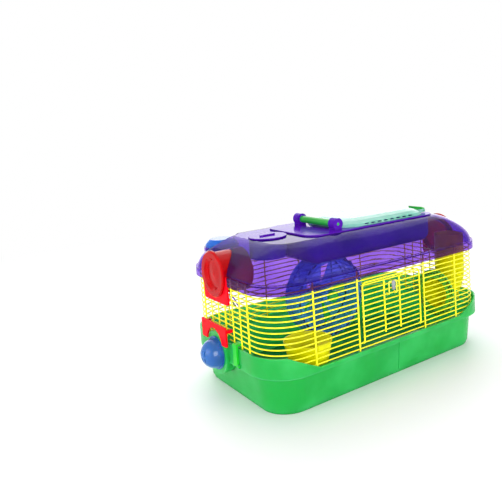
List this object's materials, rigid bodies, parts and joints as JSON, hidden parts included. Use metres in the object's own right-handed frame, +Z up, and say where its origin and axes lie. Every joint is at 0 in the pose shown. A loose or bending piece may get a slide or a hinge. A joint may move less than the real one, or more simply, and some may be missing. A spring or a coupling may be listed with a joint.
{
  "type": "hamster cage",
  "caption": "Small-animal cage with a green tray, yellow wire walls and door, a domed purple cover with a lidded petting tub, red and blue port plugs, bottle, wheel, dish and tube.",
  "frame": {"origin": "centre of the tray's underside, on the table", "axes": "+X along the length, -Y out of the front with the wire door, +Z up"},
  "size_m": [0.5443, 0.292, 0.279],
  "materials": {
    "tray_green": "translucent moulded plastic",
    "clip_green": "moulded plastic",
    "wire_yellow": "gloss powder coat",
    "latch_wire": "gloss powder coat",
    "tab_grey": "satin",
    "plate_red": "gloss",
    "plug_red": "translucent",
    "plug_blue": "translucent",
    "cover_purple": "translucent gloss",
    "zone_purple": "translucent gloss",
    "gate_green": "translucent",
    "pin_green": "gloss",
    "lid_green": "translucent",
    "bottle_blue": "translucent",
    "cap_white": "satin",
    "sipper_steel": "polished",
    "wheel_blue": "translucent",
    "axle_steel": "plain",
    "stand_green": "gloss",
    "dish_yellow": "gloss",
    "tube_yellow": "translucent",
    "flange_green": "translucent"
  },
  "bodies": {
    "cage": {"base_tray": "tray_green", "front_wires": "wire_yellow", "back_wires": "wire_yellow", "left_wires": "wire_yellow", "right_wires": "wire_yellow", "corner_wires": "wire_yellow", "left_upper_plate": "plate_red", "left_lower_plate": "plate_red", "right_upper_plate": "plate_red", "wheel_stand": "stand_green", "wheel_axle": "axle_steel", "axle_cap": "stand_green", "climb_tube": "tube_yellow", "tube_elbow": "tube_yellow", "tube_flange": "flange_green"},
    "left_clip": {"left_clip": "clip_green"},
    "right_clip": {"right_clip": "clip_green"},
    "door": {"door_frame": "wire_yellow", "door_bars": "wire_yellow"},
    "door_latch": {"door_latch": "latch_wire", "latch_tab": "tab_grey"},
    "left_plug": {"left_upper_plug": "plug_red"},
    "low_plug": {"left_lower_plug": "plug_blue"},
    "right_plug": {"right_upper_plug": "plug_red"},
    "cover": {"top_cover": "cover_purple", "roof_ring": "cover_purple", "bottle_sleeve": "cover_purple"},
    "roof_cap": {"roof_cap": "zone_purple"},
    "zone": {"petting_tub": "zone_purple", "hatch_pin": "pin_green"},
    "gate": {"petting_gate": "gate_green"},
    "lid": {"hatch_lid": "lid_green", "hatch_barrel": "pin_green"},
    "lid_latch": {"hatch_latch": "pin_green"},
    "bottle": {"water_bottle": "bottle_blue"},
    "sipper": {"bottle_cap": "cap_white", "sipper_tube": "sipper_steel"},
    "wheel": {"exercise_wheel": "wheel_blue", "wheel_spider": "wheel_blue"},
    "dish": {"food_dish": "dish_yellow"}
  },
  "joints": [
    {"name": "cover_lift", "type": "slide", "parent": "cage", "child": "cover", "axis": [0, 0, 1], "range_m": [0, 0.05]},
    {"name": "roof_cap_turn", "type": "hinge", "parent": "cover", "child": "roof_cap", "pos_m": [-0.158, 0, 0.256], "axis": [0, 0, 1], "range_deg": [0, 90]},
    {"name": "zone_lift", "type": "slide", "parent": "cover", "child": "zone", "axis": [0, 0, 1], "range_m": [0, 0.07]},
    {"name": "gate_slide", "type": "slide", "parent": "zone", "child": "gate", "axis": [-1, 0, 0], "range_m": [0, 0.08]},
    {"name": "lid_hinge", "type": "hinge", "parent": "zone", "child": "lid", "pos_m": [-0.05, 0, 0.2685], "axis": [0, -1, 0], "range_deg": [0, 110]},
    {"name": "lid_latch_press", "type": "hinge", "parent": "lid", "child": "lid_latch", "pos_m": [0.181, -0.03, 0.2628], "axis": [0, 1, 0], "range_deg": [0, 25]},
    {"name": "bottle_lift", "type": "slide", "parent": "cover", "child": "bottle", "axis": [0, 0, 1], "range_m": [0, 0.05]},
    {"name": "bottle_cap_turn", "type": "hinge", "parent": "bottle", "child": "sipper", "pos_m": [-0.198, 0.096, 0.179], "axis": [0, 0, 1], "range_deg": [-60, 60]},
    {"name": "left_plug_pull", "type": "slide", "parent": "cage", "child": "left_plug", "axis": [-1, 0, 0], "range_m": [0, 0.08]},
    {"name": "right_plug_pull", "type": "slide", "parent": "cage", "child": "right_plug", "axis": [1, 0, 0], "range_m": [0, 0.06]},
    {"name": "low_plug_pull", "type": "slide", "parent": "cage", "child": "low_plug", "axis": [-1, 0, 0], "range_m": [0, 0.04]},
    {"name": "door_hinge", "type": "hinge", "parent": "cage", "child": "door", "pos_m": [0, -0.138, 0.0807], "axis": [1, 0, 0], "range_deg": [0, 105]},
    {"name": "door_latch_turn", "type": "hinge", "parent": "door", "child": "door_latch", "pos_m": [0, -0.138, 0.1503], "axis": [1, 0, 0], "range_deg": [0, 50]},
    {"name": "left_clip_turn", "type": "hinge", "parent": "cage", "child": "left_clip", "pos_m": [-0.256, -0.04, 0.067], "axis": [0, -1, 0], "range_deg": [0, 35]},
    {"name": "right_clip_turn", "type": "hinge", "parent": "cage", "child": "right_clip", "pos_m": [0.256, 0.04, 0.067], "axis": [0, 1, 0], "range_deg": [0, 35]},
    {"name": "wheel_spin", "type": "hinge", "parent": "cage", "child": "wheel", "pos_m": [-0.024, 0.022, 0.121], "axis": [0, 1, 0], "continuous": true},
    {"name": "dish_tilt", "type": "hinge", "parent": "cage", "child": "dish", "pos_m": [-0.154, -0.138, 0.0981], "axis": [1, 0, 0], "range_deg": [0, 25]}
  ]
}
